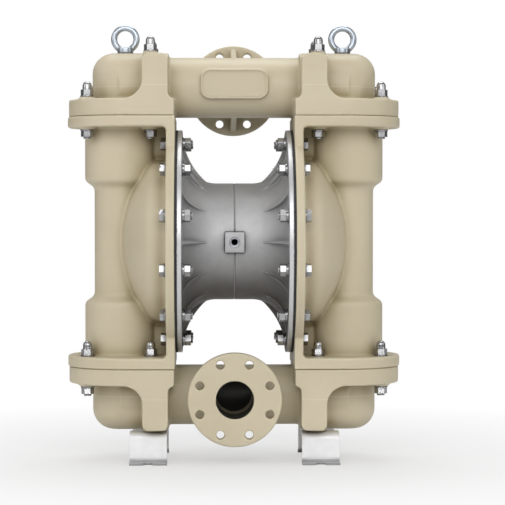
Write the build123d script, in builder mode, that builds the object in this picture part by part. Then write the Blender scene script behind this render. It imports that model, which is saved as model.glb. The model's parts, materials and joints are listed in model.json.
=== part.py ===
from build123d import *
from math import acos, asin, cos, degrees, radians, sin, sqrt
import os

# Air operated diaphragm pump with DN80 flanged ports, in millimetres.
# x runs along the diaphragm shaft, the inlet faces -y, z is up from the floor.

# Layout about the diaphragm shaft
foot_height = 66.0
joint_clear = 26.0
joint_to_tube = 64.0
joint_to_end = 138.0
column_x = 247.0

# Clearances between pieces
seat_gap = 0.3
thread_gap = 0.2
running_gap = 0.06

# Fluid chamber: clamp plate and dome
plate_thickness = 19.0
plate_radius = 243.0
flange_radius = 135.0
flange_centre_x = 225.0
flange_thickness = 24.0
flange_corner = 8.0
cast_rounding = 4.0
dome_bulge = 18.0
dome_wall = 12.0
skirt_inset = 67.0
skirt_length = 33.2
skirt_wall = 13.0
skirt_root = 8.0
skirt_rounding = 30.0
mouth_inset = 59.0
mouth_cone = 3.0

# Fluid chamber: valve column
pocket_radius = 63.0
pocket_wall = 13.0
pocket_depth = 126.0
pocket_floor = 12.0
passage_radius = 44.0
passage_wall = 11.5
column_shoulder = 14.0
shoulder_fillet = 14.0
web_half = 20.0
web_length = 95.0

# Manifolds
manifold_inset = 2.5
manifold_flange = 36.0
manifold_inner_x = 128.0
tube_radius = 65.0
tube_bore = 52.0
elbow_radius = 59.5
elbow_rounding = 45.0
port_radius = 50.0
pillar_in = 141.0
pillar_out = 196.0
pillar_drop = 7.0
pillar_rounding = 14.0
pillar_foot = 12.0
pillar_blend = 40.0
boss_radius = 17.0
boss_height = 5.0

# DN80 pipe flanges
pipe_flange_radius = 100.0
pipe_flange_thickness = 24.0
pipe_flange_face = 145.0
pipe_bore = 40.0
pipe_neck_radius = 57.0
pipe_bolt_circle = 80.0
pipe_bolt_hole = 9.0
pipe_bolt_count = 8
gusset_thickness = 14.0
gusset_sink = 5.0

# Bare name pad on the discharge manifold
pad_width = 145.0
pad_height = 64.0
pad_corner = 21.0
pad_proud = 4.0
pad_rim = 4.5
pad_recess = 1.5
pad_rise = 5.6

# M16 fasteners
bolt_radius = 8.0
hole_radius = 8.75
hex_flats = 24.0
head_height = 10.0
nut_height = 13.0
acorn_height = 31.0
acorn_radius = 10.0
washer_radius = 15.0
washer_thickness = 2.5
lock_radius = 13.0
lock_thickness = 3.0
thread_end = 4.0
acorn_depth = 20.0
stud_offset = 67.5
stud_half = 68.0

# Lifting eye bolts
eye_x = 235.5
eye_rise = 31.0
eye_outer_radius = 31.0
eye_inner_radius = 17.5
eye_collar_radius = 17.0
eye_collar_height = 12.0
eye_shank = 15.0

# Diaphragms and plates
rim_thickness = 5.0
rim_inset = 2.0
roll_inner = 108.0
roll_inset = 4.0
roll_rise = 14.0
shaft_radius = 15.0
outer_plate_radius = 100.0
outer_plate_thickness = 24.0
outer_plate_edge = 10.0
outer_plate_nose = 45.0
inner_plate_radius = 105.0
inner_plate_thickness = 16.0
inner_plate_edge = 8.0
inner_plate_hub = 40.0
plate_rounding = 4.0
shaft_engagement = 18.0

# Aluminium air chambers
air_face = 121.5
air_flange_thickness = 10.0
bolt_inset = 24.0
bolt_count = 12
waist_radius = 126.0
waist_half = 39.0
flare_inset = 39.0
air_floor_x = 80.0
floor_thickness = 14.0
mouth_wall = 8.0
plenum_wall = 12.0
gasket_thickness = 1.0
rib_count = 12
rib_tip_x = 57.0
rib_tip_proud = 1.0
rib_root_inset = 15.0
rib_root_width = 9.0
rib_mid_x = 96.0
rib_proud = 20.0
rib_tip_width = 1.5
tie_inset = 24.0
tie_count = 6
tie_radius = 5.0
tie_head_radius = 8.5
tie_head_height = 8.0
tie_nut_height = 6.5
tie_boss_radius = 13.0
tie_recess_radius = 10.0
tie_start = 30.0
gasket_inset = 0.5

# Air exchanger around the shaft
housing_bore = 55.0
housing_wall = 9.0
cartridge_half = 45.0
cartridge_bore = 30.0
end_ring_bore = 17.0
spool_half = 34.0
spool_bore = 18.0
spool_groove = 18.0
spool_groove_depth = 5.0
air_port_radius = 7.0
bush_outer = 20.0
bush_length = 12.0
seal_length = 6.0

# Air inlet and exhaust blocks
inlet_width = 41.0
inlet_height = 43.0
block_proud = 8.0
block_depth = 24.0
block_chamfer = 1.5
block_boss_half = 33.0
block_boss_sink = 28.0
air_hole_radius = 10.3
air_hole_depth = 18.0
air_tail_radius = 17.0
exhaust_size = 52.0
exhaust_passage = 12.0
silencer_radius = 24.0
silencer_length = 78.0
silencer_neck = 13.0
silencer_wall = 4.0
silencer_rows = 5
silencer_pitch = 12.0
silencer_slot = 4.0

# Ball valves
seat_height = 16.0
seat_radius = 62.0
seat_bore = 36.0
seat_land = 10.0
ball_radius = 43.0
ball_lift = 22.0
cage_radius = 62.5
cage_ring = 8.0
cage_ring_inner = 52.0
cage_rib_inner = 44.2
cage_rib_width = 12.0
cage_rib_count = 4
oring_radius = 55.0
oring_section = 2.0

# Feet
sheet = 5.0
bend_radius = 8.0
foot_width = 80.0
foot_x = 184.0
foot_web_y = 98.0
foot_top_depth = 53.0
foot_reach = 30.0
foot_slot = 20.0
foot_slot_depth = 14.0

# Places worked out from the sizes above
axis_to_joint = plate_radius + joint_clear
axis_to_tube = axis_to_joint + joint_to_tube
axis_to_end = axis_to_joint + joint_to_end
axis_z = foot_height + axis_to_end
shaft_axis = Axis((0, 0, axis_z), (1, 0, 0))
bottom_joint = axis_z - axis_to_joint
top_joint = axis_z + axis_to_joint
top_end = axis_z + axis_to_end
tube_z = axis_z - axis_to_tube
bolt_start = 180 / bolt_count
base_centre = (Align.CENTER, Align.CENTER, Align.MIN)
stud_inner_x = column_x - stud_offset
stud_outer_x = column_x + stud_offset
shaft_hole = shaft_radius + thread_gap

plate_in = air_face + rim_thickness
plate_out = plate_in + plate_thickness
rim_radius = plate_radius - rim_inset
bolt_circle = rim_radius - bolt_inset
cavity_mouth_radius = plate_radius - mouth_inset
skirt_radius = plate_radius - skirt_inset
cavity_skirt_radius = skirt_radius - skirt_wall
dome_radius = plate_radius + dome_bulge
skirt_x = plate_out + skirt_length
dome_centre = skirt_x - sqrt(dome_radius**2 - skirt_radius**2)
cavity_radius = dome_radius - dome_wall
cavity_x = dome_centre + sqrt(cavity_radius**2 - cavity_skirt_radius**2)
column_large = pocket_radius + pocket_wall
column_small = passage_radius + passage_wall
shoulder_outer = axis_to_joint - pocket_depth - pocket_floor
gusset_y = pipe_flange_face - pipe_flange_thickness / 2
ball_rise = seat_land + sqrt((ball_radius + seat_gap) ** 2 - seat_bore**2)
seat_cone_radius = seat_bore + (seat_height - seat_land) * (ball_rise - seat_land) / seat_bore
oring_groove_depth = 2 * (oring_section + thread_gap / 2)
cage_stop = ball_rise + ball_lift + ball_radius + seat_gap

roll_outer = cavity_mouth_radius - roll_inset
flare_radius = rim_radius - flare_inset
rib_root_radius = rim_radius - rib_root_inset
tie_circle = waist_radius - tie_inset
inlet_face = waist_radius + block_proud
block_boss_back = waist_radius - block_boss_sink
air_flange_back = air_face - air_flange_thickness
air_flange_middle = air_face - air_flange_thickness / 2
flare_length = air_flange_back - waist_half
flare_height = flare_radius - waist_radius
floor_angle = -degrees(acos((air_floor_x - waist_half) / (flare_length + mouth_wall)))
mouth_angle = -degrees(asin((flare_radius - cavity_mouth_radius) / (flare_height + mouth_wall)))
air_floor_radius = flare_radius + (flare_height + mouth_wall) * sin(radians(floor_angle))
mouth_x = waist_half + (flare_length + mouth_wall) * cos(radians(mouth_angle))
half_gasket = gasket_thickness / 2
housing_radius = housing_bore + housing_wall
plenum_radius = waist_radius - plenum_wall
block_boss_front = waist_radius - plenum_wall / 2
rib_mid_share = (rib_mid_x - waist_half) / flare_length
rib_mid_radius = flare_radius - flare_height * sqrt(1 - rib_mid_share**2) + rib_proud
plenum_depth = air_floor_x - floor_thickness - half_gasket
housing_depth = air_floor_x - bush_length - seal_length
bolt_tip_x = air_flange_back - washer_thickness - lock_thickness - nut_height - thread_end


def across(x, side=1):
    """Plane across the shaft at x, mirrored for the left side. Local y is up."""
    return Plane(origin=(side * x, 0, axis_z), x_dir=(0, side, 0), z_dir=(side, 0, 0))


def level(z, x=0.0):
    """Horizontal plane at height z."""
    return Plane(origin=(x, 0, z), x_dir=(1, 0, 0), z_dir=(0, 0, 1))


def upright(x=0.0, z=0.0, side=1):
    """Plane through y = 0. Local x is outward along the shaft, local y is up."""
    return Plane(origin=(x, 0, z), x_dir=(side, 0, 0), z_dir=(0, -side, 0))


def facing(y, z):
    """Plane that faces the front, at depth y. Local y is up."""
    return Plane(origin=(0, y, z), x_dir=(1, 0, 0), z_dir=(0, -1, 0))


def upright_axis(x):
    """Vertical axis at x."""
    return Axis((x, 0, 0), (0, 0, 1))


def save(part, name, tint):
    """Label, colour and write one node."""
    part.label = name
    part.color = Color(tint)
    export_step(part, f"parts/{name}.step")


def flange_plan(side, radius, inner_x):
    """Plan of a joint flange: a round end about the column and straight sides to the clamp plate."""
    with Locations((side * flange_centre_x, 0)):
        Circle(radius)
    with Locations((side * (inner_x + flange_centre_x) / 2, 0)):
        Rectangle(flange_centre_x - inner_x, 2 * radius)
    with Locations((side * (inner_x - radius), 0)):
        Rectangle(2 * radius, 2 * radius, mode=Mode.SUBTRACT)


def stud_places(side, xs):
    """Plan places of the studs of one column."""
    return [(side * x, y) for x in xs for y in (-stud_half, stud_half)]


def fluid_chamber(side):
    """Moulded chamber: clamp plate, dome, stepped valve column and two joint flanges."""
    with BuildPart() as chamber:
        with BuildSketch(across(plate_in, side)):
            Rectangle(2 * flange_radius, 2 * axis_to_joint)
            Circle(plate_radius)
        extrude(amount=plate_thickness)
        for z in (bottom_joint, top_joint - flange_thickness):
            with BuildSketch(level(z)):
                flange_plan(side, flange_radius, plate_in)
            extrude(amount=flange_thickness)
        inner_corners = chamber.edges().filter_by(Axis.Y).filter_by(
            lambda edge: abs(abs(edge.center().X) - plate_out) < 0.01
            and abs(edge.center().Z - axis_z) < axis_to_joint - 0.5 * flange_thickness
        )
        fillet(inner_corners, flange_corner)
        free_levels = (bottom_joint + flange_thickness, top_joint - flange_thickness)
        round_ends = chamber.edges().filter_by(GeomType.CIRCLE).filter_by(
            lambda edge: abs(edge.radius - flange_radius) < 0.01
            and min(abs(edge.center().Z - z) for z in free_levels) < 0.01
        )
        plate_rims = chamber.edges().filter_by(GeomType.CIRCLE).filter_by(
            lambda edge: abs(edge.radius - plate_radius) < 0.01
            and abs(abs(edge.center().X) - plate_out) < 0.01
        )
        fillet(round_ends + plate_rims, cast_rounding)

        with BuildSketch(upright(0, axis_z, side)) as dome_profile:
            root_radius = skirt_radius + skirt_root
            with BuildLine():
                Line((plate_in, 0), (plate_in, root_radius))
                Line((plate_in, root_radius), (plate_out, root_radius))
                CenterArc((plate_out + skirt_root, root_radius), skirt_root, 180, 90)
                Line((plate_out + skirt_root, skirt_radius), (skirt_x, skirt_radius))
                CenterArc((dome_centre, 0), dome_radius, 0, degrees(asin(skirt_radius / dome_radius)))
                Line((dome_centre + dome_radius, 0), (plate_in, 0))
            make_face()
            crease = dome_profile.vertices().filter_by(lambda corner: abs(corner.X - skirt_x) < 0.01)
            fillet(crease, skirt_rounding)
        revolve(axis=shaft_axis)

        with BuildSketch(upright(side * column_x, axis_z)) as column_profile:
            with BuildLine():
                Polyline(
                    (0, -axis_to_joint),
                    (column_large, -axis_to_joint),
                    (column_large, -shoulder_outer),
                    (column_small, -shoulder_outer + column_shoulder),
                    (column_small, shoulder_outer - column_shoulder),
                    (column_large, shoulder_outer),
                    (column_large, axis_to_joint),
                    (0, axis_to_joint),
                    close=True,
                )
            make_face()
            shoulders = column_profile.vertices().filter_by(
                lambda corner: abs(corner.Y) < axis_to_joint - 1
            )
            fillet(shoulders, shoulder_fillet)
        revolve(axis=upright_axis(side * column_x))

        with BuildSketch(across(plate_out, side)):
            for end in (-1, 1):
                with Locations((0, end * (axis_to_joint - web_length / 2))):
                    SlotOverall(web_length, 2 * web_half, rotation=90)
        extrude(amount=column_x - plate_out)
        with BuildSketch(level(top_joint - flange_thickness)):
            with Locations(stud_places(side, (stud_inner_x, stud_outer_x))):
                Circle(boss_radius)
        extrude(amount=-boss_height)

        with BuildSketch(upright(0, axis_z, side)):
            with BuildLine():
                Line((plate_in, 0), (plate_in, cavity_mouth_radius))
                Line((plate_in, cavity_mouth_radius), (plate_out - mouth_cone, cavity_skirt_radius))
                Line((plate_out - mouth_cone, cavity_skirt_radius), (cavity_x, cavity_skirt_radius))
                CenterArc(
                    (dome_centre, 0), cavity_radius, 0, degrees(asin(cavity_skirt_radius / cavity_radius))
                )
                Line((dome_centre + cavity_radius, 0), (plate_in, 0))
            make_face()
        revolve(axis=shaft_axis, mode=Mode.SUBTRACT)

        with BuildSketch(level(bottom_joint, side * column_x)):
            Circle(passage_radius)
        extrude(amount=2 * axis_to_joint, mode=Mode.SUBTRACT)
        for z in (bottom_joint, top_joint - pocket_depth):
            with BuildSketch(level(z, side * column_x)):
                Circle(pocket_radius)
            extrude(amount=pocket_depth, mode=Mode.SUBTRACT)

        with BuildSketch(across(plate_in, side)):
            with PolarLocations(bolt_circle, bolt_count, start_angle=bolt_start):
                Circle(hole_radius)
        extrude(amount=plate_thickness, mode=Mode.SUBTRACT)
        for z in (bottom_joint, top_joint - flange_thickness - boss_height):
            with BuildSketch(level(z)):
                with Locations(stud_places(side, (stud_inner_x, stud_outer_x))):
                    Circle(hole_radius)
            extrude(amount=flange_thickness + boss_height, mode=Mode.SUBTRACT)
    return chamber.part


def pillar(side):
    """Wall of a manifold that carries the inner studs, flush with its joint flange and flared into it."""
    end = foot_height + pillar_drop - bottom_joint + manifold_flange
    with BuildPart() as wall:
        with BuildSketch(upright(0, bottom_joint - manifold_flange, side)) as outline:
            with BuildLine():
                CenterArc((pillar_in - pillar_foot, -pillar_foot), pillar_foot, 0, 90)
                Polyline(
                    (pillar_in - pillar_foot, 0),
                    (pillar_in - pillar_foot, manifold_flange),
                    (pillar_out + pillar_blend, manifold_flange),
                    (pillar_out + pillar_blend, 0),
                )
                CenterArc((pillar_out + pillar_blend, -pillar_blend), pillar_blend, 90, 90)
                Polyline(
                    (pillar_out, -pillar_blend),
                    (pillar_out, end),
                    (pillar_in, end),
                    (pillar_in, -pillar_foot),
                )
            make_face()
            fillet(outline.vertices().group_by(Axis.Y)[0], pillar_rounding)
        extrude(amount=flange_radius, both=True)
        with BuildSketch(level(foot_height)):
            flange_plan(side, flange_radius - manifold_inset, manifold_inner_x)
        extrude(amount=bottom_joint - foot_height, mode=Mode.INTERSECT)
        with BuildSketch(level(foot_height)):
            with Locations(stud_places(side, (stud_inner_x,))):
                Circle(boss_radius)
        extrude(amount=2 * pillar_drop)
    return wall.part


def pipe_flange():
    """Disc of the pipe connection, rounded along both rims."""
    with BuildPart() as disc:
        with BuildSketch(facing(-pipe_flange_face, tube_z)):
            Circle(pipe_flange_radius)
        extrude(amount=-pipe_flange_thickness)
        fillet(disc.edges(), cast_rounding / 2)
    return disc.part


def manifold():
    """Inlet manifold: tube, two elbows with pillars and joint flanges, and the pipe flange."""
    with BuildPart() as casting:
        for side in (-1, 1):
            with BuildSketch(level(bottom_joint)):
                flange_plan(side, flange_radius - manifold_inset, manifold_inner_x)
            extrude(amount=-manifold_flange)
            with BuildSketch(level(bottom_joint - manifold_flange)):
                with Locations(stud_places(side, (stud_outer_x,))):
                    Circle(boss_radius)
            extrude(amount=-boss_height)
            add(pillar(side))
            with BuildSketch(upright(side * column_x, foot_height)):
                with BuildLine():
                    Line((0, 0), (elbow_radius - elbow_rounding, 0))
                    RadiusArc(
                        (elbow_radius - elbow_rounding, 0), (elbow_radius, elbow_rounding), -elbow_rounding
                    )
                    Line((elbow_radius, elbow_rounding), (elbow_radius, bottom_joint - foot_height))
                    Line((elbow_radius, bottom_joint - foot_height), (0, bottom_joint - foot_height))
                    Line((0, bottom_joint - foot_height), (0, 0))
                make_face()
            revolve(axis=upright_axis(side * column_x))
            with BuildSketch(across(pillar_in, side)) as belly:
                with Locations((0, (bottom_joint + foot_height) / 2 - axis_z)):
                    Rectangle(2 * elbow_radius, bottom_joint - foot_height)
                fillet(belly.vertices().group_by(Axis.Y)[0], elbow_rounding)
            extrude(amount=column_x - pillar_in)

        with BuildSketch(across(-column_x)):
            with Locations((0, -axis_to_tube)):
                Circle(tube_radius)
        extrude(amount=2 * column_x)
        add(pipe_flange())
        with BuildSketch(facing(-pipe_flange_face, tube_z)):
            Circle(pipe_neck_radius)
        extrude(amount=-pipe_flange_face)
        with BuildSketch(across(-gusset_thickness / 2)):
            with BuildLine():
                Polyline(
                    (0, -axis_to_tube - tube_radius + gusset_sink),
                    (-gusset_y, -axis_to_tube - pipe_flange_radius + gusset_sink),
                    (-gusset_y, -axis_to_tube + pipe_flange_radius - gusset_sink),
                    (0, -axis_to_tube + tube_radius - gusset_sink),
                    close=True,
                )
            make_face()
        extrude(amount=gusset_thickness)

        for side in (-1, 1):
            with BuildSketch(level(bottom_joint)):
                with Locations((side * (plate_in - seat_gap + column_x) / 2, 0)):
                    Rectangle(column_x - plate_in + seat_gap, 2 * flange_radius)
            extrude(amount=tube_radius, mode=Mode.SUBTRACT)
            with Locations((side * column_x, 0, tube_z)):
                Sphere(tube_bore, mode=Mode.SUBTRACT)
            with BuildSketch(level(tube_z, side * column_x)):
                Circle(port_radius)
            extrude(amount=bottom_joint - tube_z, mode=Mode.SUBTRACT)
            with BuildSketch(level(foot_height)):
                with Locations(stud_places(side, (stud_inner_x, stud_outer_x))):
                    Circle(hole_radius)
            extrude(amount=bottom_joint - foot_height, mode=Mode.SUBTRACT)
        with BuildSketch(across(-column_x)):
            with Locations((0, -axis_to_tube)):
                Circle(tube_bore)
        extrude(amount=2 * column_x, mode=Mode.SUBTRACT)
        with BuildSketch(facing(-pipe_flange_face, tube_z)):
            Circle(pipe_bore)
            with PolarLocations(pipe_bolt_circle, pipe_bolt_count, start_angle=180 / pipe_bolt_count):
                Circle(pipe_bolt_hole)
        extrude(amount=-pipe_flange_thickness, mode=Mode.SUBTRACT)
        with BuildSketch(facing(-pipe_flange_face, tube_z)):
            Circle(pipe_bore)
        extrude(amount=-pipe_flange_face, mode=Mode.SUBTRACT)
    return casting.part


def air_rib(side):
    """One thin rib of an air chamber, a wedge in plan with a curved outer edge."""
    with BuildPart() as rib:
        with BuildSketch(upright(0, axis_z, side)):
            with BuildLine():
                Polyline(
                    (rib_tip_x, waist_radius + rib_tip_proud),
                    (waist_half, waist_radius - plenum_wall / 2),
                    (air_flange_middle, waist_radius - plenum_wall / 2),
                    (air_flange_middle, rib_root_radius),
                    (air_flange_back, rib_root_radius),
                )
                ThreePointArc(
                    (rib_tip_x, waist_radius + rib_tip_proud),
                    (rib_mid_x, rib_mid_radius),
                    (air_flange_back, rib_root_radius),
                )
            make_face()
        extrude(amount=rib_root_width, both=True)
        with BuildSketch(level(axis_z)):
            with BuildLine():
                Polyline(
                    (side * waist_half, -rib_tip_width / 2),
                    (side * rib_tip_x, -rib_tip_width / 2),
                    (side * air_flange_middle, -rib_root_width / 2),
                    (side * air_flange_middle, rib_root_width / 2),
                    (side * rib_tip_x, rib_tip_width / 2),
                    (side * waist_half, rib_tip_width / 2),
                    close=True,
                )
            make_face()
        extrude(amount=rim_radius, mode=Mode.INTERSECT)
    return rib.part


def air_chamber(side):
    """Cast aluminium half: ribbed flare, bolt flange, air cavity, plenum and exchanger housing."""
    rib = air_rib(side)
    with BuildPart() as casting:
        with BuildSketch(upright(0, axis_z, side)):
            with BuildLine():
                Line((half_gasket, 0), (half_gasket, waist_radius))
                Line((half_gasket, waist_radius), (waist_half, waist_radius))
                EllipticalCenterArc(
                    (waist_half, flare_radius), flare_length, flare_height, start_angle=-90, arc_size=90
                )
                Line((air_flange_back, flare_radius), (air_flange_back, rim_radius))
                Line((air_flange_back, rim_radius), (air_face, rim_radius))
                Line((air_face, rim_radius), (air_face, 0))
                Line((air_face, 0), (half_gasket, 0))
            make_face()
        revolve(axis=shaft_axis)
        for index in range(rib_count):
            add(rib.rotate(shaft_axis, index * 360 / rib_count))

        with BuildSketch(upright(0, axis_z, side)):
            with BuildLine():
                Line((air_floor_x, 0), (air_floor_x, air_floor_radius))
                EllipticalCenterArc(
                    (waist_half, flare_radius),
                    flare_length + mouth_wall,
                    flare_height + mouth_wall,
                    start_angle=floor_angle,
                    arc_size=mouth_angle - floor_angle,
                )
                Line((mouth_x, cavity_mouth_radius), (air_face, cavity_mouth_radius))
                Line((air_face, cavity_mouth_radius), (air_face, 0))
                Line((air_face, 0), (air_floor_x, 0))
            make_face()
        revolve(axis=shaft_axis, mode=Mode.SUBTRACT)

        with BuildSketch(across(half_gasket, side)):
            Circle(plenum_radius)
            Circle(housing_radius, mode=Mode.SUBTRACT)
            with PolarLocations(tie_circle, tie_count, start_angle=tie_start):
                Circle(tie_boss_radius, mode=Mode.SUBTRACT)
        extrude(amount=plenum_depth, mode=Mode.SUBTRACT)
        for y in (-block_boss_back, block_boss_front):
            with BuildSketch(facing(y, axis_z)):
                with Locations((side * (half_gasket + block_boss_half) / 2, 0)):
                    Rectangle(block_boss_half - half_gasket, 2 * block_boss_half)
            extrude(amount=block_boss_front - block_boss_back)

        for y, width, height in (
            (-inlet_face + block_depth, inlet_width, inlet_height),
            (inlet_face, exhaust_size, exhaust_size),
        ):
            with BuildSketch(facing(y, axis_z)):
                Rectangle(width + 2 * seat_gap, height + 2 * seat_gap)
            extrude(amount=block_depth, mode=Mode.SUBTRACT)
        with BuildSketch(facing(-housing_bore / 2, axis_z)):
            Circle(air_tail_radius + seat_gap)
        extrude(amount=waist_radius - housing_bore / 2, mode=Mode.SUBTRACT)
        with BuildSketch(facing(inlet_face, axis_z)):
            Circle(exhaust_passage)
        extrude(amount=inlet_face - block_boss_back, mode=Mode.SUBTRACT)

        with BuildSketch(across(0, side)):
            Circle(housing_bore)
        extrude(amount=housing_depth, mode=Mode.SUBTRACT)
        with BuildSketch(across(0, side)):
            Circle(bush_outer)
            with PolarLocations(tie_circle, tie_count, start_angle=tie_start):
                Circle(tie_radius + seat_gap)
        extrude(amount=air_floor_x, mode=Mode.SUBTRACT)
        with BuildSketch(across(air_floor_x - tie_head_height, side)):
            with PolarLocations(tie_circle, tie_count, start_angle=tie_start):
                Circle(tie_recess_radius)
        extrude(amount=tie_head_height, mode=Mode.SUBTRACT)
        with BuildSketch(across(air_flange_back, side)):
            with PolarLocations(bolt_circle, bolt_count, start_angle=bolt_start):
                Circle(hole_radius)
        extrude(amount=air_flange_thickness, mode=Mode.SUBTRACT)
    return casting.part


def tube_ring(x, length, inner, outer, side=1):
    """Plain ring about the shaft axis."""
    with BuildPart() as ring:
        with BuildSketch(across(x, side)):
            Circle(outer)
            Circle(inner, mode=Mode.SUBTRACT)
        extrude(amount=length)
    return ring.part


def diaphragm(side):
    """Moulded disc with a clamped rim, a flexing roll and a clamped centre."""
    roll_middle = (roll_inner + roll_outer) / 2
    with BuildPart() as disc:
        with BuildSketch(upright(0, axis_z, side)):
            with BuildLine():
                Line((air_face, shaft_hole), (air_face, roll_inner))
                ThreePointArc(
                    (air_face, roll_inner), (air_face + roll_rise, roll_middle), (air_face, roll_outer)
                )
                Line((air_face, roll_outer), (air_face, rim_radius))
                Line((air_face, rim_radius), (plate_in, rim_radius))
                Line((plate_in, rim_radius), (plate_in, roll_outer))
                ThreePointArc(
                    (plate_in, roll_outer), (plate_in + roll_rise, roll_middle), (plate_in, roll_inner)
                )
                Line((plate_in, roll_inner), (plate_in, shaft_hole))
                Line((plate_in, shaft_hole), (air_face, shaft_hole))
            make_face()
        revolve(axis=shaft_axis)
        with BuildSketch(across(air_face, side)):
            with PolarLocations(bolt_circle, bolt_count, start_angle=bolt_start):
                Circle(hole_radius)
        extrude(amount=rim_thickness, mode=Mode.SUBTRACT)
    return disc.part


def outer_plate(side):
    """Domed plate on the liquid side, screwed on the end of the shaft."""
    back = plate_in + outer_plate_thickness
    with BuildPart() as plate:
        with BuildSketch(upright(0, axis_z, side)) as profile:
            with BuildLine():
                Polyline(
                    (plate_in, 0),
                    (plate_in, outer_plate_radius),
                    (plate_in + outer_plate_edge, outer_plate_radius),
                    (back, outer_plate_nose),
                    (back, 0),
                    close=True,
                )
            make_face()
            rounded = profile.vertices().filter_by(lambda corner: corner.X > plate_in + 1 and corner.Y > 1)
            fillet(rounded, plate_rounding)
        revolve(axis=shaft_axis)
        with BuildSketch(across(plate_in, side)):
            Circle(shaft_hole)
        extrude(amount=shaft_engagement + seat_gap, mode=Mode.SUBTRACT)
    return plate.part


def inner_plate(side):
    """Plate on the air side, with a rounded edge that the diaphragm rolls over."""
    with BuildPart() as plate:
        with BuildSketch(upright(0, axis_z, side)) as profile:
            with BuildLine():
                Polyline(
                    (air_face, shaft_hole),
                    (air_face, inner_plate_radius),
                    (air_face - inner_plate_edge, inner_plate_radius),
                    (air_face - inner_plate_thickness, inner_plate_hub),
                    (air_face - inner_plate_thickness, shaft_hole),
                    close=True,
                )
            make_face()
            rounded = profile.vertices().filter_by(lambda corner: corner.Y > shaft_hole + 1)
            fillet(rounded, plate_rounding)
        revolve(axis=shaft_axis)
    return plate.part


def valve_seat(x, z):
    """Seat ring with a conical land for the ball and a groove for its O-ring."""
    with BuildPart() as seat:
        with BuildSketch(upright(x, z)):
            with BuildLine():
                Polyline(
                    (seat_bore, 0),
                    (seat_radius, 0),
                    (seat_radius, seat_height),
                    (seat_cone_radius, seat_height),
                    (seat_bore, seat_land),
                    close=True,
                )
            make_face()
            with Locations((oring_radius, oring_groove_depth / 2)):
                Rectangle(2 * (oring_section + thread_gap), oring_groove_depth, mode=Mode.SUBTRACT)
        revolve(axis=upright_axis(x))
    return seat.part


def ball_cage(x, z):
    """Cage above a seat: base ring, guide ribs, top ring and the cross that stops the ball."""
    top = z + pocket_depth - seat_gap
    base = z + seat_height
    with BuildPart() as cage:
        for height in (base, top - cage_ring):
            with BuildSketch(level(height, x)):
                Circle(cage_radius)
                Circle(cage_ring_inner, mode=Mode.SUBTRACT)
            extrude(amount=cage_ring)
        with BuildSketch(level(base, x)):
            with PolarLocations((cage_rib_inner + cage_ring_inner) / 2 + 1, cage_rib_count):
                Rectangle(cage_ring_inner - cage_rib_inner + 2, cage_rib_width)
        extrude(amount=top - base)
        with BuildSketch(level(z + cage_stop, x)):
            Rectangle(2 * cage_ring_inner + 2, cage_rib_width)
            Rectangle(cage_rib_width, 2 * cage_ring_inner + 2)
        extrude(amount=top - z - cage_stop)
    return cage.part


def ball(x, z):
    """Valve ball resting on its seat."""
    with BuildPart() as sphere:
        with Locations((x, 0, z + ball_rise)):
            Sphere(ball_radius)
    return sphere.part


def hex_prisms(plane_z, height, places, bore=0.0):
    """Upright hexagonal prisms at plan places, with a bore for nuts."""
    with BuildPart() as prisms:
        with BuildSketch(level(plane_z)):
            with Locations(places):
                RegularPolygon(hex_flats / 2, 6, major_radius=False)
                if bore:
                    Circle(bore, mode=Mode.SUBTRACT)
        extrude(amount=height)
    return prisms.part


def acorn_nuts(seats):
    """Closed domed nuts. Each seat is (x, y, z) of the nut's underside."""
    with BuildPart() as nuts:
        for x, y, z in seats:
            add(hex_prisms(z, nut_height, [(x, y)]))
            with Locations((x, y, z)):
                Cylinder(acorn_radius, acorn_height - acorn_radius, align=base_centre)
            with Locations((x, y, z + acorn_height - acorn_radius)):
                Sphere(acorn_radius)
            with Locations((x, y, z)):
                Cylinder(
                    bolt_radius + thread_gap, acorn_depth + seat_gap, align=base_centre, mode=Mode.SUBTRACT
                )
    return nuts.part


def hex_nuts(seats):
    """Hex nuts hung below their seats. Each seat is (x, y, z) of the nut's top face."""
    with BuildPart() as nuts:
        for x, y, z in seats:
            add(hex_prisms(z - nut_height, nut_height, [(x, y)], bolt_radius + thread_gap))
    return nuts.part


def washers(undersides):
    """Flat washers. Each place is (x, y, z) of the washer's underside."""
    with BuildPart() as discs:
        for x, y, z in undersides:
            with BuildSketch(level(z)):
                with Locations((x, y)):
                    Circle(washer_radius)
                    Circle(hole_radius, mode=Mode.SUBTRACT)
            extrude(amount=washer_thickness)
    return discs.part


def studs(spans):
    """Threaded rods. Each span is (x, y, low z, high z)."""
    with BuildPart() as rods:
        for x, y, low, high in spans:
            with BuildSketch(level(low)):
                with Locations((x, y)):
                    Circle(bolt_radius)
            extrude(amount=high - low)
    return rods.part


def chamber_bolts(side):
    """Hex bolts of one clamp plate, heads on the chamber side."""
    under_head = plate_out + washer_thickness
    with BuildPart() as bolts:
        with BuildSketch(across(bolt_tip_x, side)):
            with PolarLocations(bolt_circle, bolt_count, start_angle=bolt_start):
                Circle(bolt_radius)
        extrude(amount=under_head - bolt_tip_x)
        with BuildSketch(across(under_head, side)):
            with PolarLocations(bolt_circle, bolt_count, start_angle=bolt_start):
                RegularPolygon(hex_flats / 2, 6, major_radius=False)
        extrude(amount=head_height)
    return bolts.part


def chamber_nuts(side):
    """Nuts on the aluminium side of one clamp plate."""
    with BuildPart() as nuts:
        with BuildSketch(across(bolt_tip_x + thread_end, side)):
            with PolarLocations(bolt_circle, bolt_count, start_angle=bolt_start):
                RegularPolygon(hex_flats / 2, 6, major_radius=False)
                Circle(bolt_radius + thread_gap, mode=Mode.SUBTRACT)
        extrude(amount=nut_height)
    return nuts.part


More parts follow.
